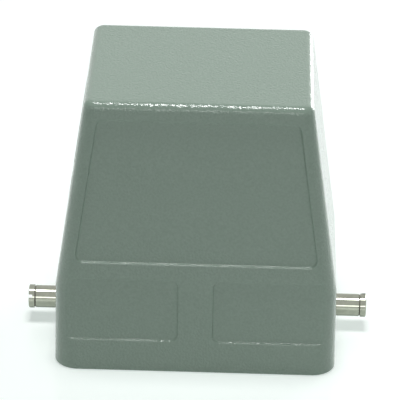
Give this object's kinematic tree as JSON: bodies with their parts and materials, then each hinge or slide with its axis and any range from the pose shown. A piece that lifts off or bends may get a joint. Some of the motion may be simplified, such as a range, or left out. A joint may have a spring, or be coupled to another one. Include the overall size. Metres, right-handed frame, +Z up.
{
  "type": "heavy duty rectangular connector",
  "caption": "Tapered die-cast connector hood with a turning locking peg on each narrow end, a side cable entry, and a screw-terminal pin insert inside its open rim.",
  "frame": {"origin": "centre of the open rim that the hood stands on, which is the bottom centre of its box", "axes": "+Z up, away from the mating side; +X along the line of the two locking pegs, with the cable entry at -X; +Y square to both, through the long faces"},
  "size_m": [0.0738, 0.043, 0.0624],
  "materials": {
    "hood_paint": "grey-green powder coat with a fine pebble",
    "turned_steel": "turned and nickel plated, satin",
    "insert_plastic": "moulded pebble grey plastic",
    "silvered_brass": "silver plated copper alloy",
    "zinc_screws": "bright zinc plate",
    "plate_steel": "punched sheet, zinc plated",
    "spring_bronze": "bent bronze strip"
  },
  "bodies": {
    "hood": {"hood_shell": "hood_paint", "peg_screw_left": "turned_steel", "peg_screw_right": "turned_steel", "insert_body": "insert_plastic", "contact_pin_1": "silvered_brass", "contact_pin_2": "silvered_brass", "contact_pin_3": "silvered_brass", "contact_pin_4": "silvered_brass", "contact_pin_5": "silvered_brass", "contact_pin_6": "silvered_brass", "terminal_screws": "zinc_screws", "earth_screws": "zinc_screws", "fixing_screws": "zinc_screws", "fixing_washers": "zinc_screws", "earth_plate_left": "plate_steel", "earth_plate_right": "plate_steel", "earth_clamps": "plate_steel", "wire_guards": "spring_bronze"},
    "sleeve_left": {"peg_sleeve_left": "turned_steel"},
    "sleeve_right": {"peg_sleeve_right": "turned_steel"}
  },
  "joints": [
    {"name": "left_sleeve_turn", "type": "hinge", "parent": "hood", "child": "sleeve_left", "pos_m": [-0.0324, 0, 0.0053], "axis": [1, 0, 0], "continuous": true},
    {"name": "right_sleeve_turn", "type": "hinge", "parent": "hood", "child": "sleeve_right", "pos_m": [0.0324, 0, 0.0053], "axis": [1, 0, 0], "continuous": true}
  ]
}
